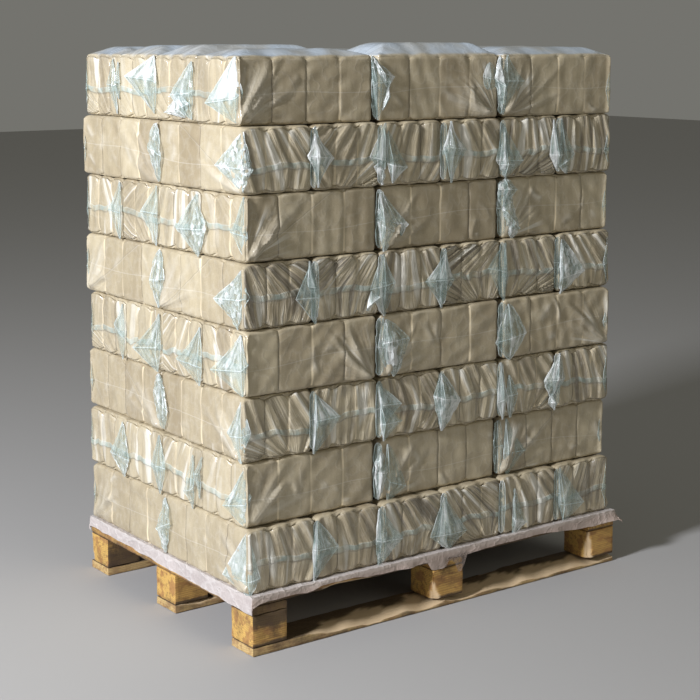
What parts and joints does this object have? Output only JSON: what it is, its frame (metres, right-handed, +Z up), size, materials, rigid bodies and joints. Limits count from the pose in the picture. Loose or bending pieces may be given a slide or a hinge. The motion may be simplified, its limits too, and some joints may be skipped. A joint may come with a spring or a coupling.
{
  "type": "pallet of wrapped fuel briquettes",
  "caption": "Nine-block wooden pallet stacked with cross-laid layers of clear-film packs of pressed wood fuel briquettes on a thin slip sheet.",
  "frame": {"origin": "on the floor, under the middle of the pallet's footprint", "axes": "+X along the pallet's 1200 mm side, +Y along its 800 mm side, from the front face to the back, +Z up"},
  "size_m": [1.212, 0.811, 1.397],
  "materials": {
    "pine": "sawn dry yellow pine",
    "weathered_pine": "sawn, greyed and dusty",
    "slip_film": "thin crumpled sheet, dusty",
    "wrapped_briquettes": "pressed wood under shrunk clear film",
    "clear_film": "clear, wrinkled, glossy"
  },
  "bodies": {
    "root": {"bottom_board_front": "weathered_pine", "bottom_board_middle": "weathered_pine", "bottom_board_back": "weathered_pine", "block_front_left": "pine", "block_front_centre": "pine", "block_front_right": "pine", "block_middle_left": "pine", "block_middle_centre": "pine", "block_middle_right": "pine", "block_back_left": "pine", "block_back_centre": "pine", "block_back_right": "pine", "cross_board_left": "pine", "cross_board_centre": "pine", "cross_board_right": "pine", "deck_board_1": "pine", "deck_board_2": "pine", "deck_board_3": "pine", "deck_board_4": "pine", "deck_board_5": "pine", "deck_board_6": "pine", "deck_board_7": "pine", "slip_sheet": "slip_film", "pack_layer_1": "wrapped_briquettes", "pack_layer_2": "wrapped_briquettes", "pack_layer_3": "wrapped_briquettes", "pack_layer_4": "wrapped_briquettes", "pack_layer_5": "wrapped_briquettes", "pack_layer_6": "wrapped_briquettes", "pack_layer_7": "wrapped_briquettes", "pack_layer_8": "wrapped_briquettes"}
  },
  "joints": []
}
